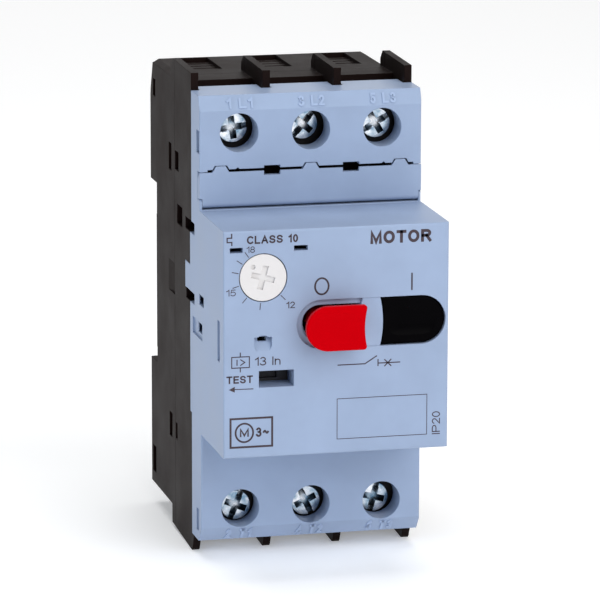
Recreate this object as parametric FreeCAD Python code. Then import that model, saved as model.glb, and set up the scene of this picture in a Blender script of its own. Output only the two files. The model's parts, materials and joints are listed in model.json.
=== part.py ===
import FreeCAD, Part

import math
import os

from FreeCAD import Vector

# Three-pole motor protection breaker for a 35 mm top-hat rail, in millimetres.
# The pieces are drawn with X to the right, Y as the depth behind the front face
# and Z up from the middle of the raised front block. save() then moves them back
# so that the middle of the rail seat is the origin.

# ---- driving dimensions: housing ----
WIDTH = 45.0                # three 15 mm modules
HALF = WIDTH / 2
BLOCK_HALF = 22.5           # half the height of the raised front block
SEAT_DEPTH = 63.5           # front face to rail seat
BACK_DEPTH = 69.3           # front face to the rear lips
FACE_UP = 21.6              # depth of the upper terminal face
FACE_DOWN = 20.8            # depth of the lower terminal face
COVER_TOP = 45.25
COVER_BOTTOM = -45.0
TERMINAL_BACK = 29.4        # cover's rear edge beside the terminals
MIDDLE_BACK = 30.7          # cover's rear edge between the terminals
TONGUE_BACK = 35.3          # rear end of the cover's side snap
TOP_BACK = 33.7             # rear edge of the cover over the terminals
WIRE_BACK = 38.4            # rear edge of the wire entries
SPLIT = 45.4                # joint between middle and base housing
PARTING = 0.1               # gap left at a parting line
HOUSING_TOP = 45.7
BASE_BOTTOM = -43.8
SIDE_WALL = 1.5
FRONT_WALL = 1.8
FRONT_ROUND = 0.4           # edges round the front face
SIDE_ROUND = 0.35           # upright edges of the terminal faces
SKIN = 0.25                 # wall left round the holes in the sides
UNDERCUT = 3.2              # how far those holes widen behind that wall
SIDE_HOLE_DEEP = 2.5
OUTER_POCKET = 0.4          # shallow pocket round the rear one of those holes
# depths, heights and surrounding pocket of the side holes
SIDE_HOLES = ((18.05, 22.2, 3.7, 5.75, 0.0), (19.4, 24.7, -2.35, -0.05, OUTER_POCKET))

# ---- poles, partitions and terminals ----
POLE_PITCH = 14.5
POLES = (-POLE_PITCH, 0.0, POLE_PITCH)
POLE_HALF = 6.5             # half the clear width of a pole chamber
FIN_X = (-21.75, -7.25, 7.25, 21.75)
FIN_THICK = 1.5
FIN_TOP = 48.7              # at the front; the ridge rises towards the back
FIN_RISE = 0.25
FIN_BOTTOM = -48.6          # at the front; the ridge rises towards the back
FIN_BOTTOM_RISE = 0.9
FIN_BACK = 48.8
FIN_FRONT_BOTTOM = 27.6
LINE_Z = 37.8               # axis of the upper screws
LOAD_Z = -38.1              # axis of the lower screws
HOLE_R = {LINE_Z: 3.88, LOAD_Z: 3.86}
TUBE_R = 5.3
TUBE_LENGTH = 5.4
HEAD_R = 3.05
HEAD_HEIGHT = 2.4
HEAD_CHAMFER = 0.12
SHANK_R = 1.75              # M3.5
SHANK_LENGTH = 13.0
THREAD_CLEAR = 0.05
WASHER_THICK = 1.4
PLATE_DEPTH = 36.9          # front of the terminal plates
PLATE_THICK = 1.5
# left to right: depth of the screw head's face, turn of its slot, and how far
# the loosely held screw sits off the middle of its hole (to the side and in height)
LINE_SCREWS = ((28.0, 8.0, 0.0, 0.0), (28.8, 50.0, 0.0, 0.0), (27.2, 30.0, 0.0, 0.0))
LOAD_SCREWS = ((25.3, 68.0, 0.0, -0.5), (25.8, -66.0, 0.0, -0.5), (26.0, 76.0, -0.3, -0.62))

# ---- front controls ----
SLOT_Z = 3.4
SLOT_R = 4.85
SLOT_LEFT = -7.95
SLOT_RIGHT = 21.9
RECESS = 0.9                # depth of the step round the buttons
LEDGE = 1.15                # width of that step round the O button
WEB_RECESS = 0.15           # how far the web between the buttons lies back
BUTTON_TRAVEL = 4.5
OFF_FACE = -5.4
CAP_THICK = 1.2             # head of the O button, wider than its neck
ON_FACE = 0.4
BUTTON_GAP = 0.15
NECK_GAP = 0.9
CAP_RIM = 0.35
CAP_CORNER = 0.6            # right-hand corners of the O button
DISH_R = 12.0               # hollow in the front of both buttons
DISH_DEEP = 0.4
DIAL_X, DIAL_Z = -14.65, 13.17
DIAL_R = 4.62
DIAL_HOLE_R = 4.8
DIAL_SHAFT_R = 2.0
ROCKER_X, ROCKER_Y = 7.2, 16.5
ROCKER_ARM = 8.5
ROCKER_PIN_R = 1.5
TEST_X0, TEST_X1 = -15.5, -8.5
TEST_Z0, TEST_Z1 = -8.6, -5.3
FLAP_LOW, FLAP_HIGH = 22.95, 30.6
FLAP_PIVOT_Y, FLAP_PIVOT_Z = 22.5, 23.85
FLAP_THICK = 1.6
FLAP_KNUCKLE_R = 0.9
FLAP_GAP = 0.55             # open line above the flap
FLAP_END = 20.9             # half the width of the slot behind the flap
FLAP_CHEEK = 22.0           # inner face of the blocks at both ends of the hinge
FLAP_LIP = 0.4
SNAP_X = (-18.2, 0.0, 18.2)
WINDOWS = ((-9.5, -6.2), (6.5, 9.8))

# ---- contacts and releases ----
CONTACT_Z = (25.0, 5.0)     # upper and lower fixed contact
FOOT_Y0, FOOT_Y1 = 45.5, 47.0
BRIDGE_Y0, BRIDGE_Y1 = 48.4, 49.6
COIL_Y = 42.5
COIL_TOP, COIL_BOTTOM = -4.0, -16.0
BIMETAL_Z = -24.0
LATCH_X, LATCH_Z = -15.6, 1.5

# ---- rail fixing ----
RAIL_HALF = 17.5
RECESS_TOP, RECESS_BOTTOM = 20.5, -17.3
SEAT_HALF = 14.0
SEAT_RAISE = 0.3


def box(x0, x1, y0, y1, z0, z1):
    return Part.makeBox(x1 - x0, y1 - y0, z1 - z0, Vector(x0, y0, z0))


def cylinder(start, axis, radius, length):
    return Part.makeCylinder(radius, length, Vector(*start), Vector(*axis))


def along_y(x, z, radius, y0, y1):
    return cylinder((x, y0, z), (0, 1, 0), radius, y1 - y0)


def along_z(x, y, radius, z0, z1):
    return cylinder((x, y, z0), (0, 0, 1), radius, z1 - z0)


def along_x(y, z, radius, x0, x1):
    return cylinder((x0, y, z), (1, 0, 0), radius, x1 - x0)


def side_prism(outline, x0, x1):
    """Outline given as (y, z) points, extruded from x0 to x1."""
    points = [Vector(x0, y, z) for y, z in outline]
    face = Part.Face(Part.makePolygon(points + points[:1]))
    return face.extrude(Vector(x1 - x0, 0, 0))


def front_prism(outline, y0, y1):
    """Outline given as (x, z) points, extruded from y0 to y1."""
    points = [Vector(x, y0, z) for x, z in outline]
    face = Part.Face(Part.makePolygon(points + points[:1]))
    return face.extrude(Vector(0, y1 - y0, 0))


def plan_prism(outline, z0, z1):
    """Outline given as (x, y) points, extruded from z0 to z1."""
    points = [Vector(x, y, z0) for x, y in outline]
    face = Part.Face(Part.makePolygon(points + points[:1]))
    return face.extrude(Vector(0, 0, z1 - z0))


def stadium(x0, x1, zc, radius, y0, y1):
    """A horizontal slot shape with round ends."""
    middle = box(x0 + radius, x1 - radius, y0, y1, zc - radius, zc + radius)
    ends = [along_y(x, zc, radius, y0, y1) for x in (x0 + radius, x1 - radius)]
    return union([middle] + ends)


def union(shapes):
    shapes = list(shapes)
    if len(shapes) == 1:
        return shapes[0]
    return shapes[0].fuse(shapes[1:]).removeSplitter()


def cut(shape, tools):
    return shape.cut(Part.makeCompound(list(tools)))


def both_sides(shape):
    return [shape, shape.mirror(Vector(0, 0, 0), Vector(1, 0, 0))]


def coil_spring(x, y, z0, z1, radius, wire, turns):
    """A round-wire compression spring that stands along Z."""
    height = z1 - z0 - 2 * wire
    helix = Part.makeHelix(height / turns, height, radius)
    circle = Part.Circle(Vector(radius, 0, 0), Vector(0, 1, 0), wire)
    section = Part.Wire(circle.toShape())
    spring = Part.Wire(helix.Edges).makePipeShell([section], True, True)
    spring.translate(Vector(x, y, z0 + wire))
    return spring


def save(name, shape):
    os.makedirs("parts", exist_ok=True)
    placed = shape.translated(Vector(0, -SEAT_DEPTH, 0))
    if not placed.isValid() or not placed.Solids:
        raise ValueError("bad shape: " + name)
    placed.exportStep(os.path.join("parts", name + ".step"))


# ---------------------------------------------------------------- housing

def side_pocket(y0, y1, z0, z1, deep):
    """A blind pocket in both side walls."""
    return both_sides(box(-HALF - 1, -HALF + deep, y0, y1, z0, z1))


def terminal_tubes():
    tubes = []
    for x in POLES:
        tubes.append(along_y(x, LINE_Z, TUBE_R, FACE_UP, FACE_UP + TUBE_LENGTH))
        tubes.append(along_y(x, LOAD_Z, TUBE_R, FACE_DOWN, FACE_DOWN + TUBE_LENGTH))
    return tubes


def terminal_holes():
    holes = []
    for x in POLES:
        for z in (LINE_Z, LOAD_Z):
            holes.append(along_y(x, z, HOLE_R[z], FACE_DOWN - 1, TERMINAL_BACK + 2))
    return holes


def button_bar(y0, y1):
    """The barrel-shaped web between the two buttons."""
    low, high = SLOT_Z - SLOT_R - 2, SLOT_Z + SLOT_R + 2
    left_end, left_middle, right_middle, right_end = 6.0, 4.55, 9.32, 8.18
    left = Part.Arc(Vector(left_end, y0, low), Vector(left_middle, y0, SLOT_Z),
                    Vector(left_end, y0, high))
    right = Part.Arc(Vector(right_end, y0, high), Vector(right_middle, y0, SLOT_Z),
                     Vector(right_end, y0, low))
    edges = [left.toShape(), Part.makeLine(Vector(left_end, y0, high), Vector(right_end, y0, high)),
             right.toShape(), Part.makeLine(Vector(right_end, y0, low), Vector(left_end, y0, low))]
    return Part.Face(Part.Wire(edges)).extrude(Vector(0, y1 - y0, 0))


def cover_outline():
    return [(0, -BLOCK_HALF), (0, BLOCK_HALF), (FACE_UP, BLOCK_HALF), (FACE_UP, 42.25),
            (FACE_UP + 1.2, COVER_TOP), (TERMINAL_BACK, COVER_TOP), (TERMINAL_BACK, 19.0),
            (MIDDLE_BACK, 19.0), (MIDDLE_BACK, -20.0), (TERMINAL_BACK, -20.0),
            (TERMINAL_BACK, COVER_BOTTOM), (23.3, COVER_BOTTOM), (FACE_DOWN, -42.0),
            (FACE_DOWN, -BLOCK_HALF)]


def rounded_cover_blank():
    blank = side_prism(cover_outline(), -HALF, HALF)
    upright = [e for e in blank.Edges
               if e.BoundBox.ZLength > 15 and e.BoundBox.YLength < 0.01
               and FACE_DOWN - 1 < e.BoundBox.YMin < FACE_UP + 1]
    blank = blank.makeFillet(SIDE_ROUND, upright)
    return blank.makeFillet(FRONT_ROUND, [e for e in blank.Edges if e.BoundBox.YMax < 0.01])


def front_cover():
    wall_in = HALF - SIDE_WALL - 0.3
    tongues = [box(-HALF, -HALF + SIDE_WALL, MIDDLE_BACK - 1, TONGUE_BACK, 4.6, 10.0)]
    tongues = both_sides(tongues[0])
    for x in POLES:
        tongues.append(box(x - 6.2, x + 6.2, TERMINAL_BACK - 1, TOP_BACK,
                           COVER_TOP - SIDE_WALL, COVER_TOP))
        tongues.append(box(x - 6.2, x + 6.2, TERMINAL_BACK - 1, TOP_BACK,
                           COVER_BOTTOM, COVER_BOTTOM + SIDE_WALL))
    cover = rounded_cover_blank()
    hollows = [box(-wall_in, wall_in, FRONT_WALL, 40, -20.7, 20.7)]
    for x in POLES:
        hollows.append(box(x - POLE_HALF, x + POLE_HALF, FACE_UP + 1.8, 40, 32.2, COVER_TOP - 1.7))
        hollows.append(box(x - POLE_HALF, x + POLE_HALF, FACE_DOWN + 1.8, 40, COVER_BOTTOM + 1.7, -24.2))
    cover = cut(cover, hollows)
    # auxiliary-switch slot behind the flap
    sill = FLAP_LOW - 0.3
    cover = cut(cover, [box(-HALF - 1, HALF + 1, FACE_UP - 1, FLAP_PIVOT_Y + 1.0, sill, FLAP_HIGH),
                        box(-FLAP_END, FLAP_END, FACE_UP, TERMINAL_BACK + 1, sill, FLAP_HIGH)])
    guide = stadium(SLOT_LEFT - 1.1, SLOT_RIGHT - 0.8, SLOT_Z, SLOT_R + 0.9, FRONT_WALL - 0.5, 7.0)
    dial_well = along_y(DIAL_X, DIAL_Z, DIAL_HOLE_R + 1.2, FRONT_WALL - 0.5, 9.0)
    test_tunnel = box(TEST_X0 - 1, TEST_X1 + 1, FRONT_WALL - 0.5, 5.6, TEST_Z0 - 1, TEST_Z1 + 1)
    pin_bosses = [box(ROCKER_X - 2.3, ROCKER_X + 2.3, 6.5, ROCKER_Y + 2.4, z0, z0 + 2.6)
                  for z0 in (SLOT_Z - 7.6, SLOT_Z + 4.6)]
    latch_boss = box(-wall_in - 0.3, LATCH_X + 2.0, 20.0, 24.7, LATCH_Z - 2, LATCH_Z + 2)
    spring_shelf = box(-9.0, -5.5, 24.5, 28.5, -21.0, -9.0)
    rounded = [piece.common(rounded_cover_blank()) for piece in terminal_tubes() + flap_cheeks(sill)]
    cover = union([cover, guide, dial_well, test_tunnel, latch_boss, spring_shelf]
                  + pin_bosses + tongues + rounded)
    cover = cut(cover, button_openings() + terminal_holes() + face_openings() + side_marks_blue())
    return cover


def flap_cheeks(sill):
    """Ends of the flap's hinge line, and the blocks that close its gap at both ends."""
    cheek = along_x(FLAP_PIVOT_Y, FLAP_PIVOT_Z, FLAP_KNUCKLE_R, -HALF, -FLAP_CHEEK)
    rib = box(-HALF, -FLAP_CHEEK, FACE_UP, FLAP_PIVOT_Y + 1.1, sill - 0.1, FLAP_PIVOT_Z)
    stop = box(-HALF, -FLAP_END, FACE_UP, FLAP_PIVOT_Y + 1.1, FLAP_HIGH - FLAP_GAP + 0.15, FLAP_HIGH + 0.1)
    return both_sides(union([cheek, rib])) + both_sides(stop)


def button_openings():
    """The shallow step round both buttons and the two holes they run in."""
    step = stadium(SLOT_LEFT, SLOT_RIGHT, SLOT_Z, SLOT_R, -1, RECESS)
    web_front = stadium(SLOT_LEFT, SLOT_RIGHT, SLOT_Z, SLOT_R, -1, WEB_RECESS)
    bar = button_bar(-2, 20)
    off_well = off_section(SLOT_LEFT + LEDGE, SLOT_Z - SLOT_R + LEDGE, SLOT_Z + SLOT_R - LEDGE,
                           0.0, -1, 2.6)
    off_hole = off_neck(-6, 10, NECK_GAP)
    on_hole = on_head(-6, 10, BUTTON_GAP)
    return [step.cut(bar), web_front, off_well, off_hole, on_hole]


def face_openings():
    scoop = union([along_y(DIAL_X, 0.0, 1.75, -1, 3.0),
                   box(DIAL_X - 1.75, DIAL_X + 1.75, -1, 3.0, -0.2, 1.4)])
    scoop_floor = side_prism([(-2.0, -4.0), (0.0, -1.3), (1.6, 1.2), (1.6, 3.0), (4.0, 3.0), (4.0, -4.0)],
                             DIAL_X - 3, DIAL_X + 3)
    openings = [along_y(DIAL_X, DIAL_Z, DIAL_HOLE_R, -1, 7.5),
                along_y(DIAL_X, DIAL_Z, DIAL_SHAFT_R + THREAD_CLEAR, 5, 12),
                scoop.cut(scoop_floor),
                box(DIAL_X - 0.9, DIAL_X + 0.8, -1, 4.0, 0.4, 1.2),
                box(TEST_X0, TEST_X1, -1, 8, TEST_Z0, TEST_Z1),
                along_z(ROCKER_X, ROCKER_Y, ROCKER_PIN_R, -6, 12),
                along_y(LATCH_X, LATCH_Z, 0.9, 18, 26)]
    openings += [box(x0, x1, -1, 3.0, 18.25, 19.25) for x0, x1 in ((-21.25, -18.7), (-8.55, -5.8))]
    # flap hinge sockets, snap notches, finger windows
    openings += both_sides(along_x(FLAP_PIVOT_Y, FLAP_PIVOT_Z, 0.55, -22.3, -20.5))
    openings += [snap_tongue(x, 0.3, 0.12, FACE_UP - 1, FACE_UP + 1.8) for x in SNAP_X]
    openings += [box(x0, x1, FACE_UP - 1, TERMINAL_BACK + 1, FLAP_HIGH - 0.2, FLAP_HIGH + 0.5)
                 for x0, x1 in WINDOWS]
    nick = [(-15.3, FLAP_HIGH - 0.1), (-14.3, FLAP_HIGH - 0.1), (-14.8, FLAP_HIGH + 0.35)]
    openings += both_sides(front_prism(nick, FACE_UP - 1, FACE_UP + 1.0))
    return openings


def side_marks_blue():
    marks = side_pocket(22.0, 24.5, 33.8, 38.4, 1.5)
    marks += side_pocket(23.2, 25.1, -43.0, -38.5, 0.9)
    marks += side_pocket(19.4, 28.4, -3.3, 0.0, OUTER_POCKET)
    marks += side_pocket(3.5, 5.6, -4.0, 4.1, 0.8)
    for y0, y1, z0, z1, pocket in SIDE_HOLES:
        marks += side_pocket(y0, y1, z0, z1, SIDE_HOLE_DEEP)
        marks += both_sides(box(-HALF + pocket + SKIN, -HALF + SIDE_HOLE_DEEP, y0, y1 + UNDERCUT, z0, z1))
    return marks + key_slots()


def key_slots():
    """Slots for side-mounted accessories, cut through cover and middle housing."""
    return side_pocket(26.6, 34.4, 2.5, 4.7, 2.5) + side_pocket(26.5, 35.0, 16.6, 19.0, 2.5)


def snap_tongue(x, beside, above, y0, y1):
    low, high = FLAP_HIGH - FLAP_GAP - 0.1, FLAP_HIGH + 0.65 + above
    return front_prism([(x - 1.75 - beside, low), (x + 1.75 + beside, low),
                        (x + 0.95 + beside, high), (x - 0.95 - beside, high)], y0, y1)


def aux_flap():
    rear, top = FACE_UP + FLAP_THICK, FLAP_HIGH - FLAP_GAP
    plate = side_prism([(FACE_UP, FLAP_PIVOT_Z), (FACE_UP, top), (FACE_UP + FLAP_LIP, top),
                        (rear, top - 1.2), (rear, FLAP_PIVOT_Z)], -HALF, HALF)
    knuckle_end = FLAP_CHEEK - 0.05
    knuckle = along_x(FLAP_PIVOT_Y, FLAP_PIVOT_Z, FLAP_KNUCKLE_R, -knuckle_end, knuckle_end)
    corners = both_sides(box(-HALF - 1, -knuckle_end, FACE_UP - 1, FACE_UP + 3,
                             FLAP_PIVOT_Z - 1, FLAP_PIVOT_Z + FLAP_KNUCKLE_R + 0.1))
    windows = [box(x0, x1, FACE_UP - 1, FACE_UP + 3, FLAP_HIGH - 1.4, FLAP_HIGH + 1) for x0, x1 in WINDOWS]
    plate = cut(plate, corners + windows)
    pins = both_sides(along_x(FLAP_PIVOT_Y, FLAP_PIVOT_Z, 0.5, -22.25, -20.0))
    snaps = [snap_tongue(x, 0.0, 0.0, FACE_UP, FACE_UP + 1.0) for x in SNAP_X]
    return union([plate, knuckle] + pins + snaps)


def top_fin(x, y0, y1):
    bevel = 1.8
    slope = FIN_RISE / (FIN_BACK - bevel - TERMINAL_BACK)
    front, rear = FIN_TOP + slope * (y0 - TERMINAL_BACK), FIN_TOP + FIN_RISE
    outline = [(y0, 40.0), (y0, front), (y1 - bevel, rear), (y1, rear - bevel), (y1, 40.0)]
    return side_prism(outline, x - FIN_THICK / 2, x + FIN_THICK / 2)


def bottom_fin(x, y0, y1):
    rear = FIN_BOTTOM + FIN_BOTTOM_RISE * (y1 - FIN_FRONT_BOTTOM) / (FIN_BACK - FIN_FRONT_BOTTOM)
    outline = [(y0, -42.0), (y0, COVER_BOTTOM - 0.1), (FIN_FRONT_BOTTOM, COVER_BOTTOM - 0.1),
               (FIN_FRONT_BOTTOM + 1.5, FIN_BOTTOM + 0.5), (FIN_FRONT_BOTTOM + 2.1, FIN_BOTTOM),
               (y1, rear), (y1, -42.0)]
    return side_prism(outline, x - FIN_THICK / 2, x + FIN_THICK / 2)


def chamfered_top(y0, y1):
    """The low raised top plate between the fins, bevelled along both sides."""
    outline = [(-HALF, 44.0), (-HALF, 45.0), (-21.3, HOUSING_TOP), (21.3, HOUSING_TOP),
               (HALF, 45.0), (HALF, 44.0)]
    return front_prism(outline, y0, y1)


def middle_front_edge():
    """Side outline of the middle housing, which follows the cover's rear edge."""
    near, far = TERMINAL_BACK + PARTING, MIDDLE_BACK + PARTING
    return [(near, -45.0), (near, -20.1), (far, -20.1), (far, 4.5),
            (TONGUE_BACK + PARTING, 4.5), (TONGUE_BACK + PARTING, 10.1), (far, 10.1),
            (far, 19.1), (near, 19.1), (near, 45.0), (SPLIT - PARTING / 2, 45.0),
            (SPLIT - PARTING / 2, -45.0)]


def middle_housing():
    back = SPLIT - PARTING / 2
    near = TERMINAL_BACK + PARTING
    body = side_prism([(near, -45), (near, 45), (back, 45), (back, -45)], -20.6, 20.6)
    walls = both_sides(side_prism(middle_front_edge(), -HALF, -20.6))
    fins = [top_fin(x, near, FIN_BACK) for x in FIN_X]
    bottom_fins = [bottom_fin(x, near, FIN_BACK) for x in FIN_X]
    behind = box(-HALF - 1, HALF + 1, back, 60, -60, 60)
    housing = union([body, chamfered_top(WIRE_BACK, back)] + walls + fins + bottom_fins)
    hollows = [box(-20.7, 20.7, 20, WIRE_BACK, -27.6, 20.7), behind]
    for x in POLES:
        left, right = x - POLE_HALF, x + POLE_HALF
        hollows.append(box(left, right, 20, WIRE_BACK, 30.5, 60))
        hollows.append(box(left, right, 20, WIRE_BACK, -60, -28.2))
        hollows.append(box(left, right, PLATE_DEPTH - 0.5, 60, -30.6, 31.0))
        for z in (LINE_Z, LOAD_Z):
            hollows.append(along_y(x, z, 2.6, 30, 60))
    housing = cut(housing, hollows)
    return cut(housing, side_marks_black_middle())


def side_marks_black_middle():
    marks = side_pocket(41.5, 44.9, 26.7, 30.6, 0.9)
    marks += side_pocket(38.0, 43.0, 16.0, 20.0, 1.1)
    marks += side_pocket(43.3, 45.0, -29.1, -25.7, 0.9)
    return marks + key_slots()


def base_outline():
    front = SPLIT + PARTING / 2
    return [(front, -45.0), (FIN_BACK, -45.0), (FIN_BACK, BASE_BOTTOM), (BACK_DEPTH, BASE_BOTTOM),
            (BACK_DEPTH, 38.0), (69.0, 39.5), (66.9, 45.0), (front, 45.0)]


def base_housing():
    front = SPLIT + PARTING / 2
    body = side_prism(base_outline(), -HALF, HALF)
    fins = [top_fin(x, 40, FIN_BACK) for x in FIN_X] + [bottom_fin(x, 40, FIN_BACK) for x in FIN_X]
    body = union([body, chamfered_top(front, 66.5)] + fins)
    hollows = [box(-HALF - 1, HALF + 1, 20, front, -60, 60),
               box(-HALF - 1, HALF + 1, SEAT_DEPTH - SEAT_RAISE, 75, RECESS_BOTTOM, RECESS_TOP)]
    for x in POLES:
        left, right = x - POLE_HALF, x + POLE_HALF
        hollows.append(box(left, right, 40, 61.2, -41.8, 42.9))
        hollows.append(box(left, right, 60, 66.3, 22.7, 42.9))
        hollows.append(vent(x))
    body = cut(body, hollows)
    seat = box(-HALF, HALF, SEAT_DEPTH - SEAT_RAISE - 0.5, SEAT_DEPTH, -SEAT_HALF, SEAT_HALF)
    hook_top = RECESS_TOP + 0.5
    hook = side_prism([(SEAT_DEPTH - 1, RAIL_HALF + 0.3), (64.9, RAIL_HALF + 0.3), (64.9, 15.5), (67.4, 15.5),
                       (68.8, 17.0), (68.8, hook_top), (SEAT_DEPTH - 1, hook_top)], -14.0, 14.0)
    body = union([body, seat, hook])
    body = cut(body, [box(-8, 8, 64.6, 75, -50, RECESS_BOTTOM + 0.5)])
    post = box(-2.4, 2.4, 64.0, 67.4, -38.0, -36.0)
    strap = box(-8.5, 8.5, 67.9, BACK_DEPTH, -34.0, -28.0)
    body = union([body, post, strap])
    return cut(body, side_marks_black_base())


def vent(x):
    """Arc vent in the top: one window crossed by broad bars just below the surface."""
    first, gap, bar, count = 51.2, 0.7, 2.1, 5
    last = first + count * (gap + bar) + gap
    window = box(x - 3.2, x + 3.2, first, last, 42.0, 47.0)
    starts = [first + gap + i * (gap + bar) for i in range(count)]
    bars = [box(x - 4, x + 4, y, y + bar, 43.2, 44.9) for y in starts]
    return cut(window, bars)


def side_marks_black_base():
    marks = side_pocket(48.5, 51.0, 25.7, 31.3, 0.9)
    marks += side_pocket(48.3, 51.0, -29.8, -24.7, 0.9)
    marks += side_pocket(64.3, 66.6, 38.2, 41.8, 1.1)
    marks += side_pocket(64.7, 67.9, -41.4, -35.8, 1.1)
    ramp = plan_prism([(-HALF - 1, SPLIT), (-HALF + 0.7, SPLIT), (-HALF, 51.5), (-HALF - 1, 51.5)], 0.7, 7.2)
    return marks + both_sides(ramp)


# ---------------------------------------------------------------- controls

def off_section(left, low, high, gap, y0, y1):
    """Cross-section of the O button: round on the left, hollowed beside the web."""
    radius = (high - low) / 2
    middle = (high + low) / 2
    blank = union([along_y(left + radius, middle, radius, y0, y1),
                   box(left + radius, 6.0, y0, y1, low, high)])
    web = button_bar(y0 - 1, y1 + 1)
    web.translate(Vector(-gap, 0, 0))
    return blank.cut(web)


def off_neck(y0, y1, grow):
    return off_section(-5.35 - grow, 0.8 - grow, 5.9 + grow, NECK_GAP + 0.1 - grow, y0, y1)


def on_head(y0, y1, grow):
    low, high = -1.3 - grow, 8.1 + grow
    radius = (high - low) / 2
    middle = (high + low) / 2
    right = 21.75 + grow
    blank = union([along_y(right - radius, middle, radius, y0, y1),
                   box(7.5, right - radius, y0, y1, low, high)])
    web = button_bar(y0 - 1, y1 + 1)
    web.translate(Vector(BUTTON_GAP - grow, 0, 0))
    return blank.cut(web)


def dish(x0, x1, z, face):
    """Long shallow hollow with round ends, for the front of a button."""
    y = face + DISH_DEEP - DISH_R
    ends = [Part.makeSphere(DISH_R, Vector(x, y, z)) for x in (x0, x1)]
    return union([along_x(y, z, DISH_R, x0, x1)] + ends)


def rimmed(head, face):
    return head.makeFillet(CAP_RIM, [e for e in head.Edges if e.BoundBox.YMax < face + 0.01])


def button_stem(x, y0, y1, window_y):
    stem = box(x - 3.0, x + 3.0, y0, y1, 1.9, 4.9)
    window = box(x - 2.0, x + 2.0, window_y - 1.3, window_y + 1.3, 0, 7)
    return stem.cut(window)


def off_button():
    cap = off_section(-7.25, -0.9, 7.95, BUTTON_GAP, OFF_FACE, OFF_FACE + CAP_THICK)
    corners = [e for e in cap.Edges if e.BoundBox.XMin > 4.0 and e.BoundBox.YLength > 1.0
               and e.BoundBox.ZLength < 0.01]
    cap = rimmed(cap.makeFillet(CAP_CORNER, corners), OFF_FACE).cut(dish(-3.4, 1.0, 3.5, OFF_FACE))
    neck = off_neck(OFF_FACE + CAP_THICK - 0.1, 4.0, 0.0)
    stem = button_stem(ROCKER_X - ROCKER_ARM, 3.0, 21.9, ROCKER_Y - BUTTON_TRAVEL / 2)
    return union([cap, neck, stem])


def on_button():
    head = rimmed(on_head(ON_FACE, 6.5, 0.0), ON_FACE).cut(dish(12.8, 17.2, 3.4, ON_FACE))
    stem = button_stem(ROCKER_X + ROCKER_ARM, 6.0, 23.5, ROCKER_Y + BUTTON_TRAVEL / 2)
    return union([head, stem])


def button_rocker():
    tilt = math.degrees(math.atan2(BUTTON_TRAVEL / 2, ROCKER_ARM))
    reach = math.hypot(BUTTON_TRAVEL / 2, ROCKER_ARM)
    hub = along_z(0, 0, 2.6, -1.3, 7.7)
    pieces = [hub]
    for x in (-reach, reach):
        pieces.append(along_z(x, 0, 1.0, 0.5, 6.3))
    for z in (0.5, 5.3):
        pieces.append(box(-reach - 0.2, reach + 0.2, -1.1, 1.1, z, z + 1.0))
    rocker = union(pieces).cut(along_z(0, 0, ROCKER_PIN_R + THREAD_CLEAR, -5, 12))
    rocker.rotate(Vector(0, 0, 0), Vector(0, 0, 1), tilt)
    rocker.translate(Vector(ROCKER_X, ROCKER_Y, 0))
    return rocker


def rocker_pin():
    return along_z(ROCKER_X, ROCKER_Y, ROCKER_PIN_R - 0.02, SLOT_Z - 7.6, SLOT_Z + 7.2)


def current_dial():
    head = along_y(0, 0, DIAL_R, 0.1, 7.2)
    shaft = along_y(0, 0, DIAL_SHAFT_R, 7.0, 15.5)
    cam = along_y(0.6, 0, 2.9, 11.0, 14.0)
    dial = union([head, shaft, cam])
    arms = []
    for angle in (75, 165):
        arm = box(-2.35, 2.35, -1, 0.5, -0.55, 0.55)
        arm.rotate(Vector(0, 0, 0), Vector(0, -1, 0), angle)
        arms.append(arm)
    dot = along_y(-1.95, 2.15, 0.45, -1, 0.45)
    dial = cut(dial, [union(arms), dot])
    dial.translate(Vector(DIAL_X, 0, DIAL_Z))
    return dial


def test_slider():
    plate = box(-17.5, -5.4, 5.9, 7.9, TEST_Z0 - 0.9, TEST_Z1 + 0.9)
    driver_notch = box(-14.6, -10.6, 5, 6.9, TEST_Z0 + 0.5, TEST_Z1 - 0.5)
    stem = box(-14.5, -11.5, 7.5, 22.5, -9.0, -5.5)
    lug = box(-11.6, -9.8, 20.0, 26.0, -9.0, -5.5)
    neck = box(-12.0, -9.8, 20.0, 22.5, -9.0, -5.5)
    return union([plate.cut(driver_notch), stem, lug.cut(box(-14.6, -11.2, 22.4, 27, -10, -5)), neck])


def trip_bar():
    bar = box(-17.4, 18.8, 30.9, 33.0, -26.5, -21.5)
    riser = box(-14.5, -11.5, 30.9, 33.0, -22.0, -5.5)
    finger = box(-14.5, -11.5, 22.8, 31.5, -9.0, -5.5)
    bimetal_fingers = [box(x - 2.2, x - 1.2, 32.5, 37.3, -26.0, -22.0) for x in POLES]
    return union([bar, riser, finger] + bimetal_fingers)


def latch_lever():
    hub = along_y(LATCH_X, LATCH_Z, 2.0, 25.0, 28.0)
    down = box(LATCH_X - 0.8, LATCH_X + 0.8, 25.3, 27.7, LATCH_Z - 10.5, LATCH_Z)
    across = box(LATCH_X, -6.0, 25.3, 27.7, LATCH_Z - 0.8, LATCH_Z + 0.8)
    hook = box(-6.5, -5.0, 25.3, 27.7, LATCH_Z - 0.8, LATCH_Z + 2.2)
    bore = along_y(LATCH_X, LATCH_Z, 0.88 + THREAD_CLEAR, 20, 30)
    return union([hub, down, across, hook]).cut(bore)


def latch_pin():
    return along_y(LATCH_X, LATCH_Z, 0.88, 20.1, 28.8)


# ---------------------------------------------------------------- contacts

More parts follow.
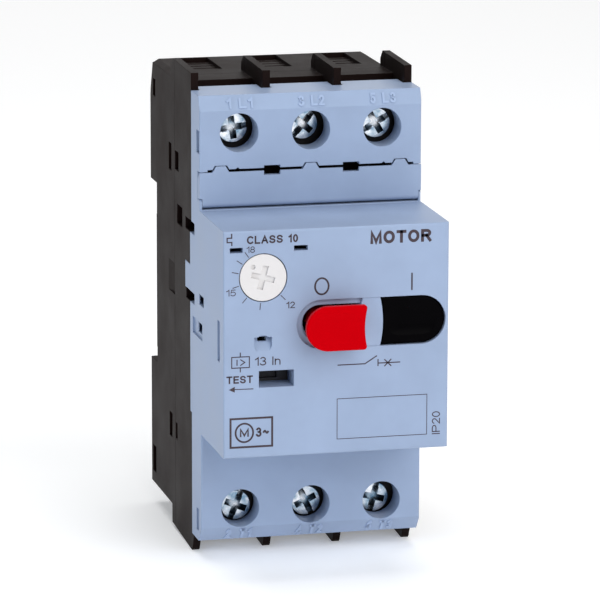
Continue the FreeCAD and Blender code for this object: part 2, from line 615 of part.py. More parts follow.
def terminal_screw(x, z, head_face, slot_turn):
    back = head_face + HEAD_HEIGHT
    head = along_y(x, z, HEAD_R, head_face, back)
    rim = [e for e in head.Edges if e.BoundBox.YMax < head_face + 0.01]
    head = head.makeChamfer(HEAD_CHAMFER, rim)
    shank = along_y(x, z, SHANK_R, back - 0.1, back + SHANK_LENGTH)
    slot = box(-HEAD_R - 1, HEAD_R + 1, -1, 1.3, -0.55, 0.55)
    cross = [box(-2.1, 2.1, -1, 1.9, -0.65, 0.65), box(-0.65, 0.65, -1, 1.9, -2.3, 2.3)]
    drive = union([slot] + cross)
    drive.rotate(Vector(0, 0, 0), Vector(0, -1, 0), slot_turn)
    drive.translate(Vector(x, head_face, z))
    return union([head, shank]).cut(drive)


def clamp_washer(x, z, head_face, off_x, off_z):
    front = head_face + HEAD_HEIGHT + 0.05
    plate = box(x - 4.9, x + 4.9, front, front + WASHER_THICK, z - 4.6, z + 4.6)
    hole = along_y(x + off_x, z + off_z, SHANK_R + THREAD_CLEAR, front - 1, front + 5)
    grooves = [box(x + side * 3.2 - 0.3, x + side * 3.2 + 0.3, front + WASHER_THICK - 0.4,
                   front + WASHER_THICK + 1, z - 6, z + 6) for side in (-1, 1)]
    return cut(plate, [hole] + grooves)


def line_conductor(x):
    back = PLATE_DEPTH + PLATE_THICK
    plate = box(x - 5.0, x + 5.0, PLATE_DEPTH, back, 29.0, 42.8)
    run = box(x - 4.0, x + 4.0, PLATE_DEPTH, FOOT_Y1, 29.0, 30.4)
    foot = box(x - 3.5, x + 3.5, FOOT_Y0, FOOT_Y1, 21.5, 30.4)
    tip = along_y(x, CONTACT_Z[0], 1.8, FOOT_Y1 - 0.1, BRIDGE_Y0 - 0.65)
    thread = along_y(x, LINE_Z, SHANK_R + THREAD_CLEAR, 30, 45)
    return union([plate, run, foot, tip]).cut(thread)


def load_contact(x):
    """Lower fixed contact and the strap that feeds the magnetic coil."""
    strap = box(x - 3.0, x + 3.0, FOOT_Y0, FOOT_Y1, COIL_TOP, CONTACT_Z[1] + 3.5)
    tip = along_y(x, CONTACT_Z[1], 1.8, FOOT_Y1 - 0.1, BRIDGE_Y0 - 0.65)
    return union([strap, tip])


def load_conductor(x, off_x, off_z):
    back = PLATE_DEPTH + PLATE_THICK
    plate = box(x - 5.0, x + 5.0, PLATE_DEPTH, back, -42.8, -28.6)
    run = box(x - 4.0, x + 4.0, PLATE_DEPTH, 60.0, -30.0, -28.6)
    foot = box(x - 3.0, x + 3.0, 58.6, 60.0, -30.0, -20.0)
    thread = along_y(x + off_x, LOAD_Z + off_z, SHANK_R + THREAD_CLEAR, 30, 45)
    return union([plate, run, foot]).cut(thread)


def contact_bridge(x):
    bar = box(x - 3.0, x + 3.0, BRIDGE_Y0, BRIDGE_Y1, CONTACT_Z[1] - 2.5, CONTACT_Z[0] + 2.5)
    tips = [along_y(x, z, 1.8, BRIDGE_Y0 - 0.6, BRIDGE_Y0 + 0.1) for z in CONTACT_Z]
    return union([bar] + tips)


def contact_carrier():
    cross = box(-19.0, 19.0, 29.9, 33.5, 10.0, 19.0)
    web = box(-3.3, 0.7, 29.9, 33.5, 1.9, 10.5)
    pillar = box(-3.3, 0.7, 22.2, 30.5, 1.9, 4.9)
    towers = []
    for x in POLES:
        tower = box(x - 4.6, x + 4.6, 33.0, 55.2, 12.5, 17.5)
        window = box(x - 3.3, x + 3.3, BRIDGE_Y0 - 0.05, 54.0, 10, 20)
        towers.append(tower.cut(window))
    return union([cross, web, pillar] + towers)


def contact_spring(x):
    """Stands along the depth between the bridge and the rear of its window."""
    spring = coil_spring(0, 0, 0, 54.0 - BRIDGE_Y1, 1.7, 0.3, 4)
    spring.rotate(Vector(0, 0, 0), Vector(1, 0, 0), -90)
    spring.translate(Vector(x, BRIDGE_Y1, 15.0))
    return spring


def arc_chute(x):
    """Two stacks of splitter plates held between fibre cheeks."""
    first, pitch, thick = 50.3, 1.9, 0.9
    half_plate, half_notch = 5.3, 1.6
    solids = []
    # lower edge, upper edge, and where the arc notch opens and ends
    for z0, z1, mouth, tip, count in ((31.4, 41.8, 30.4, 33.6, 8), (-3.4, 1.2, 2.2, -1.0, 5)):
        last = first + pitch * (count - 1) + thick
        notch = front_prism([(x - half_notch, mouth), (x, tip), (x + half_notch, mouth)],
                            first - 1, last + 1)
        for i in range(count):
            y = first + pitch * i
            solids.append(box(x - half_plate, x + half_plate, y, y + thick, z0, z1).cut(notch))
        for left in (x - half_plate - 0.9, x + half_plate):
            solids.append(box(left, left + 0.9, first - 0.6, last + 0.6, z0, z1))
    return Part.makeCompound(solids)


# ---------------------------------------------------------------- releases

def trip_coil(x):
    """Magnetic release: a ribbed winding on a bobbin, with a bore for its plunger."""
    pieces = [along_z(x, COIL_Y, 3.9, COIL_BOTTOM + 0.5, COIL_TOP - 0.5)]
    for z in (COIL_BOTTOM, COIL_TOP - 1.2):
        pieces.append(along_z(x, COIL_Y, 4.6, z, z + 1.2))
    turns = 6
    pitch = (COIL_TOP - COIL_BOTTOM - 2.6) / turns
    for i in range(turns):
        ring = Part.makeTorus(3.9, pitch * 0.46, Vector(x, COIL_Y, COIL_BOTTOM + 1.3 + pitch * (i + 0.5)))
        pieces.append(ring)
    return union(pieces).cut(along_z(x, COIL_Y, 1.3, -20, 0))


def coil_plunger(x):
    rod = along_z(x, COIL_Y, 1.25, COIL_BOTTOM - 4.6, COIL_TOP + 1.0)
    collar = along_z(x, COIL_Y, 2.4, COIL_BOTTOM - 4.6, COIL_BOTTOM - 3.6)
    return union([rod, collar])


def plunger_spring(x):
    return coil_spring(x, COIL_Y, COIL_BOTTOM - 3.6, COIL_BOTTOM, 1.85, 0.15, 4)


def bimetal(x):
    """Heated bimetal strip with its winding as a separate solid around it."""
    strip = box(x - 0.5, x + 0.5, 33.6, 58.6, BIMETAL_Z - 2.2, BIMETAL_Z + 2.2)
    winding = box(x - 2.4, x + 2.4, 38.5, 57.0, BIMETAL_Z - 3.4, BIMETAL_Z + 3.0)
    grooves = [box(x - 3, x + 3, 40.0 + 2.2 * i, 40.6 + 2.2 * i, BIMETAL_Z - 4, BIMETAL_Z + 4)
               .cut(box(x - 2.0, x + 2.0, 39, 60, BIMETAL_Z - 3, BIMETAL_Z + 2.75)) for i in range(8)]
    bore = box(x - 0.8, x + 0.8, 30, 60, BIMETAL_Z - 2.5, BIMETAL_Z + 2.5)
    return Part.makeCompound([strip, cut(winding, grooves + [bore])])


# ---------------------------------------------------------------- rail latch

def din_latch():
    body = box(-7.6, 7.6, 64.9, 67.6, -43.9, -18.0)
    nose = side_prism([(64.9, -22.0), (64.9, -15.5), (66.6, -15.5), (68.9, -18.3), (68.9, -22.0)], -7.6, 7.6)
    tail = box(-7.6, 7.6, 64.9, 68.9, -43.9, -40.5)
    window = box(-2.7, 2.7, 60, 70, -38.3, -23.0)
    tool_slot = box(-3.0, 3.0, 66.0, 67.6, -46, -41.5)
    return cut(union([body, nose, tail]), [window, tool_slot])


def din_latch_spring():
    return coil_spring(0, 66.1, -36.0, -23.0, 1.1, 0.3, 8)


def build():
    save("base_housing", base_housing())
    save("middle_housing", middle_housing())
    save("front_cover", front_cover())
    save("aux_flap", aux_flap())
    save("off_button", off_button())
    save("on_button", on_button())
    save("button_rocker", button_rocker())
    save("rocker_pin", rocker_pin())
    save("current_dial", current_dial())
    save("test_slider", test_slider())
    save("trip_bar", trip_bar())
    save("latch_lever", latch_lever())
    save("latch_pin", latch_pin())
    save("latch_spring", coil_spring(-7.5, 26.5, -9.0, LATCH_Z - 0.8, 1.1, 0.25, 6))
    save("contact_carrier", contact_carrier())
    save("din_latch", din_latch())
    save("din_latch_spring", din_latch_spring())
    for i, x in enumerate(POLES):
        pole = str(i + 1)
        for kind, z, screws in (("line", LINE_Z, LINE_SCREWS), ("load", LOAD_Z, LOAD_SCREWS)):
            face, turn, off_x, off_z = screws[i]
            save(kind + "_screw_" + pole, terminal_screw(x + off_x, z + off_z, face, turn))
            save(kind + "_clamp_" + pole, clamp_washer(x, z, face, off_x, off_z))
        save("line_conductor_" + pole, line_conductor(x))
        save("load_contact_" + pole, load_contact(x))
        save("load_conductor_" + pole, load_conductor(x, LOAD_SCREWS[i][2], LOAD_SCREWS[i][3]))
        save("contact_bridge_" + pole, contact_bridge(x))
        save("contact_spring_" + pole, contact_spring(x))
        save("arc_chute_" + pole, arc_chute(x))
        save("trip_coil_" + pole, trip_coil(x))
        save("coil_plunger_" + pole, coil_plunger(x))
        save("plunger_spring_" + pole, plunger_spring(x))
        save("bimetal_" + pole, bimetal(x))


build()
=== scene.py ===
import json
import math

import bpy
from mathutils import Matrix, Vector


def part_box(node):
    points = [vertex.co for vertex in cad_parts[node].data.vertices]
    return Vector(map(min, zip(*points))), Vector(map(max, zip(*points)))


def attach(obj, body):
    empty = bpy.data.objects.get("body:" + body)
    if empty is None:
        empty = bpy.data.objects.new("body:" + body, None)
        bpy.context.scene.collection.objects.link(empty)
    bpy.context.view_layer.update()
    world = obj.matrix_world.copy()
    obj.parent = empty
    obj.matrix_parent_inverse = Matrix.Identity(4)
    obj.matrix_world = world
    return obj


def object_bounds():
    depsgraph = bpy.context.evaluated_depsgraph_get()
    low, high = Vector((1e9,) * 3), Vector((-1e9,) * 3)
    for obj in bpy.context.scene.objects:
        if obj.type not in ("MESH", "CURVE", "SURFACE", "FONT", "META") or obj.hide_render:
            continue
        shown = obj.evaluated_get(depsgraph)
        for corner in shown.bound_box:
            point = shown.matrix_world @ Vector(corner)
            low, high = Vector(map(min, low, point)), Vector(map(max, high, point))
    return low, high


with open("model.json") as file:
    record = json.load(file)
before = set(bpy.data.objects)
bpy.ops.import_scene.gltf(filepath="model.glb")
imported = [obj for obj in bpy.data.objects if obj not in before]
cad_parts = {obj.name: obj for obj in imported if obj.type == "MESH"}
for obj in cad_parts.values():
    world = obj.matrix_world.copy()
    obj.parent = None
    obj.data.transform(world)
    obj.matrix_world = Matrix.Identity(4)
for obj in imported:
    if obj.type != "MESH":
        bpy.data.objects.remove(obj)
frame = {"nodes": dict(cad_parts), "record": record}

cad_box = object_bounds()

# Looks of a rail-mounted motor protection breaker. Lengths on the object are
# millimetres until place() turns them into metres. Depths count back from the front face.

MM = 0.001
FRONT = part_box("front_cover")[0].y / MM     # row-frame Y of the front face
INK_LIFT = 0.02                             # how far printed ink stands off the plastic
INK_THICK = 0.015
POLE_PITCH = 14.5
SAME_POINT = 1e-6


# ---------------------------------------------------------------- materials

# Noise scales in cycles per metre
MOTTLE_SCALE = 90
GRAIN_SCALE = 5200
SCRATCH_SCALE = 3000
PATCH_SCALE = 420
NOISE_LOW, NOISE_HIGH = 0.3, 0.7      # nearly all of a noise lies between these
BUMP_HEIGHT = 0.02
BEVEL_SAMPLES = 6
# Painted shade in corners and slots: its occlusion samples and darkest colour
HIDDEN_SAMPLES = 8
PAINTED_SHADE_COLOUR = (0.03, 0.04, 0.05, 1)
OPEN_COLOUR = (1, 1, 1, 1)
# Sockets of the colour mix node, which share their names with those of other types
MIX_A, MIX_B, MIX_RESULT = 6, 7, 2


def new_material(name):
    material = bpy.data.materials.new(name)
    material.use_nodes = True
    nodes = material.node_tree.nodes
    return material, nodes, material.node_tree.links, nodes["Principled BSDF"]


def object_coords(nodes, links, scale):
    coords = nodes.new("ShaderNodeTexCoord")
    mapping = nodes.new("ShaderNodeMapping")
    mapping.inputs["Scale"].default_value = scale
    links.new(coords.outputs["Object"], mapping.inputs["Vector"])
    return mapping.outputs["Vector"]


def noise(nodes, links, coords, scale, detail, roughness=0.55):
    texture = nodes.new("ShaderNodeTexNoise")
    texture.inputs["Scale"].default_value = scale
    texture.inputs["Detail"].default_value = detail
    texture.inputs["Roughness"].default_value = roughness
    links.new(coords, texture.inputs["Vector"])
    return texture.outputs["Fac"]


def ramp(nodes, links, value, stops):
    """Colour ramp between two (position, colour) stops."""
    node = nodes.new("ShaderNodeValToRGB")
    for element, (position, colour) in zip(node.color_ramp.elements, stops):
        element.position = position
        element.color = colour
    links.new(value, node.inputs["Fac"])
    return node.outputs["Color"]


def remap(nodes, links, value, low, high):
    """Spreads the middle of a noise over the range from low to high."""
    node = nodes.new("ShaderNodeMapRange")
    node.inputs["From Min"].default_value = NOISE_LOW
    node.inputs["From Max"].default_value = NOISE_HIGH
    node.inputs["To Min"].default_value = low
    node.inputs["To Max"].default_value = high
    links.new(value, node.inputs["Value"])
    return node.outputs["Result"]


def bump(nodes, links, height, strength, edge):
    """Fine relief, with edges rounded in the shading where edge isn't zero."""
    node = nodes.new("ShaderNodeBump")
    node.inputs["Strength"].default_value = strength
    node.inputs["Distance"].default_value = BUMP_HEIGHT * MM
    links.new(height, node.inputs["Height"])
    if edge:
        rounding = nodes.new("ShaderNodeBevel")
        rounding.samples = BEVEL_SAMPLES
        rounding.inputs["Radius"].default_value = edge * MM
        links.new(rounding.outputs["Normal"], node.inputs["Normal"])
    return node.outputs["Normal"]


def paint_corner_shade(nodes, links, colours, reach):
    """Painted shade: darkens the colour of what has other surfaces within reach, such as the inside of a
    screw slot.
    """
    hidden = nodes.new("ShaderNodeAmbientOcclusion")
    hidden.samples = HIDDEN_SAMPLES
    hidden.inputs["Distance"].default_value = reach * MM
    strength = ramp(nodes, links, hidden.outputs["AO"], [(0.45, PAINTED_SHADE_COLOUR), (0.9, OPEN_COLOUR)])
    mix = nodes.new("ShaderNodeMix")
    mix.data_type = "RGBA"
    mix.blend_type = "MULTIPLY"
    mix.inputs["Factor"].default_value = 1.0
    links.new(colours, mix.inputs[MIX_A])
    links.new(strength, mix.inputs[MIX_B])
    return mix.outputs[MIX_RESULT]


def shade(colour, factor):
    return tuple(min(1.0, c * factor) for c in colour[:3]) + (1.0,)


def moulded_plastic(name, colour, rough, grain=0.5, spread=0.05, edge=0.18, specular=0.3,
                    sheen=(1, 1, 1)):
    """Injection-moulded plastic: fine spark-eroded grain, slight flow mottling."""
    material, nodes, links, shader = new_material(name)
    coords = object_coords(nodes, links, (1, 1, 1))
    mottle = noise(nodes, links, coords, MOTTLE_SCALE, 3)
    fine = noise(nodes, links, coords, GRAIN_SCALE, 2, 0.6)
    stops = [(NOISE_LOW, shade(colour, 1 - spread)), (NOISE_HIGH, shade(colour, 1 + spread))]
    links.new(ramp(nodes, links, mottle, stops), shader.inputs["Base Color"])
    links.new(remap(nodes, links, mottle, rough - 0.04, rough + 0.05), shader.inputs["Roughness"])
    links.new(bump(nodes, links, fine, grain, edge), shader.inputs["Normal"])
    shader.inputs["Specular IOR Level"].default_value = specular
    shader.inputs["Specular Tint"].default_value = sheen + (1,)
    return material


def plated_metal(name, colour, tint, rough, streak=(1, 1, 1), edge=0.08, grain=0.35, painted_shade_reach=0.0):
    """Plated or bare metal with a faint tint drifting over it and fine scratches, optionally with painted
    shade darkening its slots and hollows.
    """
    material, nodes, links, shader = new_material(name)
    coords = object_coords(nodes, links, (1, 1, 1))
    scratched = object_coords(nodes, links, streak)
    drift = noise(nodes, links, coords, PATCH_SCALE, 3)
    scratch = noise(nodes, links, scratched, SCRATCH_SCALE, 3, 0.7)
    colours = ramp(nodes, links, drift, [(0.35, colour), (0.65, tint)])
    # Painted shade: the colour darkens where other surfaces are near, as in screw slots
    if painted_shade_reach:
        colours = paint_corner_shade(nodes, links, colours, painted_shade_reach)
    links.new(colours, shader.inputs["Base Color"])
    links.new(remap(nodes, links, scratch, rough - 0.08, rough + 0.12), shader.inputs["Roughness"])
    links.new(bump(nodes, links, scratch, grain, edge), shader.inputs["Normal"])
    shader.inputs["Metallic"].default_value = 1.0
    return material


BLUE = (0.282, 0.352, 0.495)
COOL = (0.62, 0.80, 1.0)              # tint of the sheen on the blue plastic
BLACK = (0.0075, 0.0035, 0.0030)

materials = {
    "housing_blue": moulded_plastic("blue_polyamide", BLUE, 0.42, sheen=COOL),
    "housing_black": moulded_plastic("black_polyamide", BLACK, 0.55, 0.8, 0.12, 0.18, 0.08,
                                     (1, 0.82, 0.78)),
    "button_red": moulded_plastic("red_button", (0.48, 0.0002, 0.0030), 0.30, 0.15, 0.03, 0.25, 0.03,
                                  (1, 0.02, 0.05)),
    "button_black": moulded_plastic("black_button", (0.0010, 0.0008, 0.0012), 0.28, 0.15, 0.08, 0.25, 0.018),
    "dial_white": moulded_plastic("natural_polyamide", (0.64, 0.625, 0.625), 0.38, 0.2, 0.03),
    "inner_plastic": moulded_plastic("thermoset", (0.035, 0.035, 0.038), 0.55, 0.8, 0.15),
    # The blue zinc screws get painted shade in slots and recesses within 1.5 mm of other surfaces
    "zinc_steel": plated_metal("blue_zinc", (0.16, 0.27, 0.38, 1), (0.76, 0.78, 0.82, 1), 0.14, grain=0.05,
                               painted_shade_reach=1.5),
    # Near-black steel: painted shade, for steel that looks dark only from lying in shadow inside the
    # terminals
    "dark_steel": plated_metal("steel_darkened_as_painted_shade", (0.030, 0.030, 0.034, 1), (0.045, 0.044, 0.046, 1), 0.45),
    "steel": plated_metal("plain_steel", (0.48, 0.48, 0.49, 1), (0.58, 0.57, 0.55, 1), 0.32, (1, 1, 8)),
    "spring_steel": plated_metal("spring_wire", (0.50, 0.50, 0.52, 1), (0.60, 0.60, 0.60, 1), 0.25),
    "tinned_copper": plated_metal("tin_plate", (0.66, 0.64, 0.60, 1), (0.74, 0.72, 0.68, 1), 0.30),
    "copper": plated_metal("bare_copper", (0.72, 0.36, 0.22, 1), (0.62, 0.28, 0.17, 1), 0.30),
    "bimetal_metal": plated_metal("bimetal", (0.52, 0.49, 0.43, 1), (0.60, 0.58, 0.52, 1), 0.34, (6, 1, 1)),
}
ink = moulded_plastic("pad_printed_ink", (0.050, 0.036, 0.044), 0.55, 0.3, 0.15, 0.0, 0.2)

slot_of = {part["node"]: part["material_slot"] for part in frame["record"]["subparts"]}
for node_name, node in frame["nodes"].items():
    for material_slot in node.material_slots:
        material_slot.material = materials[slot_of[node_name]]


# ---------------------------------------------------------------- printing

def link(piece):
    bpy.context.scene.collection.objects.link(piece)
    return piece


def place(name, vertices, faces, material, body="housing"):
    """A mesh that rides on a body, from (x, depth, z) points in millimetres."""
    mesh = bpy.data.meshes.new(name)
    mesh.from_pydata([(x * MM, (FRONT + depth) * MM, z * MM) for x, depth, z in vertices], [], faces)
    mesh.materials.append(material)
    mesh.update()
    piece = link(bpy.data.objects.new(name, mesh))
    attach(piece, body)


def arc(cx, cy, rx, ry, start, end, count=14):
    steps = [math.radians(start + (end - start) * i / count) for i in range(count + 1)]
    return [(cx + rx * math.cos(a), cy + ry * math.sin(a)) for a in steps]


# Each letter's width, and its centre lines in a box one wide and one high
GLYPHS = {
    "A": (0.92, [[(0, 0), (0.5, 1), (1, 0)], [(0.17, 0.34), (0.83, 0.34)]]),
    "C": (0.90, [arc(0.55, 0.5, 0.55, 0.5, 46, 314)]),
    "E": (0.74, [[(1, 1), (0, 1), (0, 0), (1, 0)], [(0, 0.52), (0.92, 0.52)]]),
    "I": (0.02, [[(0, 0), (0, 1)]]),
    "L": (0.70, [[(0, 1), (0, 0), (1, 0)]]),
    "M": (1.00, [[(0, 0), (0, 1), (0.5, 0.05), (1, 1), (1, 0)]]),
    "O": (1.00, [arc(0.5, 0.5, 0.5, 0.5, 0, 360, 28)]),
    "P": (0.80, [[(0, 0), (0, 1), (0.55, 1)] + arc(0.55, 0.74, 0.45, 0.26, 80, -80, 10) + [(0, 0.48)]]),
    "R": (0.88, [[(0, 0), (0, 1), (0.55, 1)] + arc(0.55, 0.75, 0.42, 0.25, 80, -80, 10) + [(0, 0.5)],
                 [(0.55, 0.5), (1, 0)]]),
    "S": (0.82, [arc(0.5, 0.75, 0.47, 0.25, 15, 255, 10) + arc(0.5, 0.25, 0.5, 0.25, 75, -165, 10)]),
    "T": (0.82, [[(0, 1), (1, 1)], [(0.5, 1), (0.5, 0)]]),
    "n": (0.55, [[(0, 0), (0, 0.7)], arc(0.5, 0.42, 0.5, 0.26, 180, 0, 10) + [(1, 0)]]),
    "0": (0.62, [arc(0.5, 0.5, 0.5, 0.5, 0, 360, 24)]),
    "1": (0.32, [[(0, 0.76), (0.45, 0.84), (1, 1), (1, 0)]]),
    "2": (0.62, [arc(0.5, 0.72, 0.48, 0.28, 165, -35, 12) + [(0, 0), (1, 0)]]),
    "3": (0.62, [arc(0.48, 0.76, 0.44, 0.24, 150, -85, 10) + arc(0.48, 0.26, 0.52, 0.26, 85, -155, 10)]),
    "4": (0.64, [[(0.74, 0), (0.74, 1), (0, 0.28), (1, 0.28)]]),
    "5": (0.62, [[(0.92, 1), (0.18, 1), (0.06, 0.5)] + arc(0.48, 0.33, 0.5, 0.33, 125, -150, 12)]),
    "6": (0.62, [arc(0.5, 0.31, 0.5, 0.31, 0, 360, 20), arc(0.86, 0.36, 0.86, 0.64, 178, 88, 10)]),
    "8": (0.62, [arc(0.5, 0.76, 0.43, 0.24, 0, 360, 18), arc(0.5, 0.27, 0.5, 0.27, 0, 360, 18)]),
    "~": (0.70, [[(t / 10, 0.5 + 0.14 * math.sin(math.tau * t / 10)) for t in range(11)]]),
    " ": (0.32, []),
}
LETTER_GAP = 0.13                     # clear space between letters, in letter heights
MITRE_LIMIT = 0.45


def ribbon(points, width):
    """A flat band along a polyline with mitred corners, as (flat points, faces)."""
    closed = math.dist(points[0], points[-1]) < SAME_POINT
    points = points[:-1] if closed else points
    count = len(points)
    flat = []
    for i, (x, y) in enumerate(points):
        before = points[i - 1] if closed or i else points[i]
        after = points[(i + 1) % count] if closed or i < count - 1 else points[i]
        directions = [Vector((b[0] - a[0], b[1] - a[1])).normalized()
                      for a, b in ((before, (x, y)), ((x, y), after)) if a != b]
        along = sum(directions, Vector((0, 0))).normalized()
        side = Vector((-along.y, along.x))
        reach = width / 2 / max(MITRE_LIMIT, abs(side.dot(Vector((-directions[0].y, directions[0].x)))))
        flat += [(x + side.x * reach, y + side.y * reach), (x - side.x * reach, y - side.y * reach)]
    faces = [(2 * i, 2 * i + 1, 2 * i + 3, 2 * i + 2) for i in range(count - 1)]
    if closed:
        faces.append((2 * count - 2, 2 * count - 1, 1, 0))
    return flat, faces


def ribbons(polylines, width):
    flat, faces = [], []
    for points in polylines:
        more, quads = ribbon(points, width)
        faces += [tuple(i + len(flat) for i in quad) for quad in quads]
        flat += more
    return flat, faces


def square_ends(points, reach):
    """Carries the open ends of a stroke on by the given length."""
    carried = list(points)
    if math.dist(points[0], points[-1]) > SAME_POINT:
        for end, beside in ((0, 1), (-1, -2)):
            ratio = reach / math.dist(points[end], points[beside])
            carried[end] = tuple(p + (p - q) * ratio for p, q in zip(points[end], points[beside]))
    return carried


def letters(words, width, height, stem):
    """Words set in a box of the given width and height, as (flat points, faces)."""
    line = stem * height
    gaps = (len(words) - 1) * LETTER_GAP * height + len(words) * line
    stretch = (width - gaps) / sum(GLYPHS[letter][0] for letter in words)
    polylines, x = [], line / 2
    for letter in words:
        glyph_width, glyph = GLYPHS[letter]
        for points in glyph:
            stroke = [(x + u * glyph_width * stretch, line / 2 + v * (height - line))
                      for u, v in points]
            polylines.append(square_ends(stroke, line / 2))
        x += glyph_width * stretch + line + LETTER_GAP * height
    return ribbons(polylines, line)


def closed_faces(faces, count):
    """Front faces, the same faces on a second layer of points, and the walls between."""
    edges = {(a, b) for face in faces for a, b in zip(face, face[1:] + face[:1])}
    walls = [(b, a, a + count, b + count) for a, b in sorted(edges) if (b, a) not in edges]
    return list(faces) + [tuple(i + count for i in reversed(face)) for face in faces] + walls


def printed(name, flat, faces):
    """Turns flat (x, z) outlines on the front face into a thin closed slab of ink."""
    vertices = [(x, depth, z) for depth in (-INK_LIFT, -INK_LIFT + INK_THICK) for x, z in flat]
    place(name, vertices, closed_faces(faces, len(flat)), ink)


def printed_words(name, words, x0, x1, z0, z1, stem, upright=False):
    """Words that fill a box on the front face; upright words read from bottom to top."""
    if upright:
        flat, faces = letters(words, z1 - z0, x1 - x0, stem)
        flat = [(x1 - y, z0 + x) for x, y in flat]
    else:
        flat, faces = letters(words, x1 - x0, z1 - z0, stem)
        flat = [(x0 + x, z0 + y) for x, y in flat]
    printed(name, flat, faces)


def printed_lines(name, polylines, width):
    printed(name, *ribbons(polylines, width))


def rectangle(x0, x1, z0, z1):
    return [(x0, z0), (x1, z0), (x1, z1), (x0, z1), (x0, z0)]


DIAL = (-14.65, 13.17)
TICK_ANGLES = (125, 145.5, 168, 196.6, 229.5, 264, 314)
TICK_RADII = (5.0, 6.35)


def dial_tick(angle):
    a = math.radians(angle)
    return [(DIAL[0] + r * math.cos(a), DIAL[1] + r * math.sin(a)) for r in TICK_RADII]


printed_words("print_class", "CLASS 10", -17.9, -7.75, 19.9, 21.5, 0.205)
printed_words("print_purpose", "MOTOR", 6.65, 18.9, 18.85, 21.35, 0.235)
printed_words("print_18", "18", -17.95, -16.3, 18.2, 19.45, 0.12)
printed_words("print_15", "15", -22.0, -20.05, 9.8, 11.1, 0.12)
printed_words("print_12", "12", -10.05, -8.35, 6.9, 8.2, 0.15)
printed_words("print_release", "13 In", -16.3, -11.2, -4.2, -2.5, 0.13)
printed_words("print_test", "TEST", -21.95, -16.7, -7.55, -6.05, 0.2)
printed_words("print_class_of_cover", "IP20", 19.3, 20.95, -19.8, -15.2, 0.12, True)
printed_lines("print_dial_scale", [dial_tick(a) for a in TICK_ANGLES], 0.15)
printed_lines("print_off_ring", [arc(-3.0, 10.95, 1.35, 1.6, 0, 360, 48)], 0.36)
printed_lines("print_on_bar", [[(15.05, 9.35), (15.05, 12.8)]], 0.3)
printed_lines("print_switch_symbol",
              [[(0.2, -4.9), (5.7, -4.9), (8.1, -3.4)], [(8.33, -4.1), (8.33, -5.5)],
               [(8.33, -4.9), (12.8, -4.9)], [(9.6, -4.2), (11.0, -5.6)],
               [(9.6, -5.6), (11.0, -4.2)]], 0.22)
printed_lines("print_coil_symbol",
              [rectangle(-20.9, -17.4, -4.45, -2.3), [(-19.2, -2.3), (-19.2, -1.4)],
               [(-19.2, -4.45), (-19.2, -5.35)], [(-19.85, -4.0), (-19.85, -2.8)],
               [(-19.2, -4.0), (-18.3, -3.4), (-19.2, -2.8)]], 0.2)
printed_lines("print_overload_symbol",
              [[(-20.88, 22.1), (-20.88, 21.25), (-21.78, 21.25), (-21.78, 20.4),
                (-20.86, 20.4), (-20.86, 19.7)]], 0.24)
printed_lines("print_test_arrow", [[(-20.4, -8.7), (-16.6, -8.75)]], 0.17)
printed("print_arrow_head", [(-21.5, -8.75), (-20.3, -9.3), (-20.3, -8.15)], [(0, 1, 2)])
printed_lines("print_label_frame", [rectangle(0.15, 18.25, -19.7, -11.65)], 0.13)
printed_lines("print_motor_frame", [rectangle(-21.15, -12.85, -20.3, -14.6)], 0.4)
printed_lines("print_motor_ring", [arc(-18.4, -17.45, 1.75, 1.85, 0, 360, 48)], 0.36)
printed_words("print_motor_letter", "M", -19.3, -17.5, -18.25, -16.6, 0.2)
printed_words("print_motor_phases", "3~", -16.1, -13.5, -18.4, -16.5, 0.2)


# ---------------------------------------------------------------- moulded terminal marks

# The raised marks are the housing blue made 14% lighter: a painted highlight for the light their edges catch
highlit_mark_plastic = moulded_plastic("blue_polyamide_marks_painted_highlight", shade(BLUE, 1.14), 0.42, edge=0.0, sheen=COOL)
MARK_RISE = 0.2
MARK_SUNK = 0.3                       # share of the rise that lies below the face
MARK_STEM = 0.2
TOP_BAND = (21.6, 42.25, 22.8, 45.25)     # depth and height of its lower and upper edge
BOTTOM_BAND = (23.3, -45.0, 20.8, -42.0)


def moulded_words(name, words, x0, x1, depth_low, z_low, depth_high, z_high):
    """Raised letters on a sloping face that runs from the low edge to the high edge."""
    slope = Vector((0, depth_high - depth_low, z_high - z_low))
    out = Vector((1, 0, 0)).cross(slope).normalized() * MARK_RISE
    flat, faces = letters(words, x1 - x0, slope.length, MARK_STEM)
    points = []
    for push in (out, out * -MARK_SUNK):
        for x, y in flat:
            along = slope * (y / slope.length) + push
            points.append((x0 + x, depth_low + along.y, z_low + along.z))
    place(name, points, closed_faces(faces, len(flat)), highlit_mark_plastic)


def on_band(band, low, high):
    """Depth and height of the two edges of a strip within a band."""
    d0, z0, d1, z1 = band
    return (d0 + (d1 - d0) * low, z0 + (z1 - z0) * low,
            d0 + (d1 - d0) * high, z0 + (z1 - z0) * high)


for pole in (1, 2, 3):
    centre = (pole - 2) * POLE_PITCH
    moulded_words("mark_line_%d" % pole, "%d L%d" % (2 * pole - 1, pole), centre - 2.5, centre + 2.8,
                  *on_band(TOP_BAND, 0.12, 0.78))
    moulded_words("mark_load_%d" % pole, "%d T%d" % (2 * pole, pole), centre - 2.8, centre + 2.6,
                  *on_band(BOTTOM_BAND, 0.12, 0.85))


# ---------------------------------------------------------------- studio

# Lengths from here on are metres

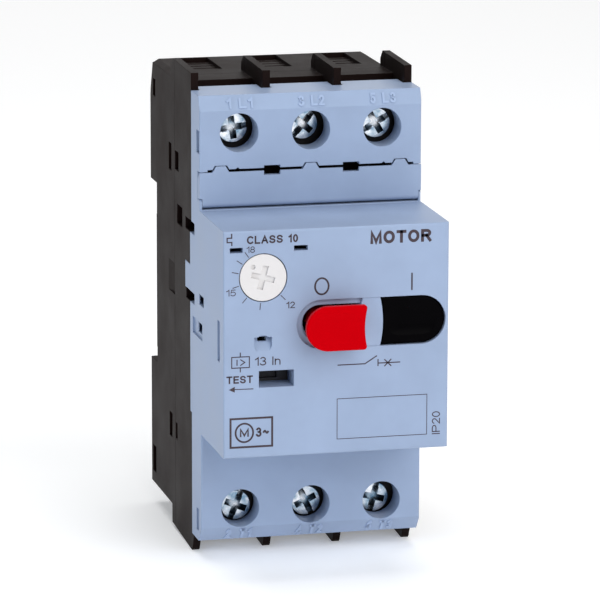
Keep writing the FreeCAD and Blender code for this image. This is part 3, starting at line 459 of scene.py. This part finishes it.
def area_light(name, location, target, size, power, colour=(1, 1, 1)):
    data = bpy.data.lights.new(name, "AREA")
    data.shape = "RECTANGLE"
    data.size, data.size_y = size
    data.energy = power
    data.color = colour
    lamp = link(bpy.data.objects.new(name, data))
    lamp.location = location
    direction = Vector(target) - Vector(location)
    lamp.rotation_euler = direction.to_track_quat("-Z", "Y").to_euler()


FLOOR_SIZE = 6
bpy.ops.mesh.primitive_plane_add(size=FLOOR_SIZE, location=(0, 0, cad_box[0][2]))
floor = bpy.context.object
floor.name = "floor"
floor_material, _, _, floor_shader = new_material("pale_floor")
floor_shader.inputs["Base Color"].default_value = (0.92, 0.92, 0.92, 1)
floor_shader.inputs["Roughness"].default_value = 0.9
floor_shader.inputs["Specular IOR Level"].default_value = 0.1
floor_shader.inputs["Emission Color"].default_value = (1, 1, 1, 1)
floor_shader.inputs["Emission Strength"].default_value = 0.25
floor.data.materials.append(floor_material)

middle = (0, -0.03, 0)
area_light("top_softbox", (0.0, 0.05, 1.00), middle, (0.9, 0.7), 6.0)
area_light("left_softbox", (-0.85, -0.35, 0.25), middle, (0.5, 0.5), 3.0, (0.75, 0.87, 1.0))
area_light("front_softbox", (0.34, -1.00, 0.62), middle, (1.2, 1.1), 13.0)
area_light("back_softbox", (0.1, 1.1, 0.45), middle, (1.4, 0.5), 3.0)

world = bpy.data.worlds.new("studio")
world.use_nodes = True
sky = world.node_tree.nodes["Background"]
sky.inputs["Color"].default_value = (1, 1, 1, 1)
sky.inputs["Strength"].default_value = 0.08
bpy.context.scene.world = world
bpy.context.scene.view_settings.view_transform = "Standard"

CAMERA_YAW, CAMERA_PITCH, CAMERA_ROLL = 13.474, 12.191, 0.133
CAMERA_AT = (-0.21136, -0.9150, 0.1976)
camera_data = bpy.data.cameras.new("camera")
camera_data.sensor_width = 36
camera_data.lens = 277.6
camera_data.clip_end = 20
camera = link(bpy.data.objects.new("camera", camera_data))
turn = (Matrix.Rotation(math.radians(-CAMERA_YAW), 4, "Z")
        @ Matrix.Rotation(math.radians(90 - CAMERA_PITCH), 4, "X")
        @ Matrix.Rotation(math.radians(CAMERA_ROLL), 4, "Z"))
camera.matrix_world = Matrix.Translation(CAMERA_AT) @ turn
bpy.context.scene.camera = camera
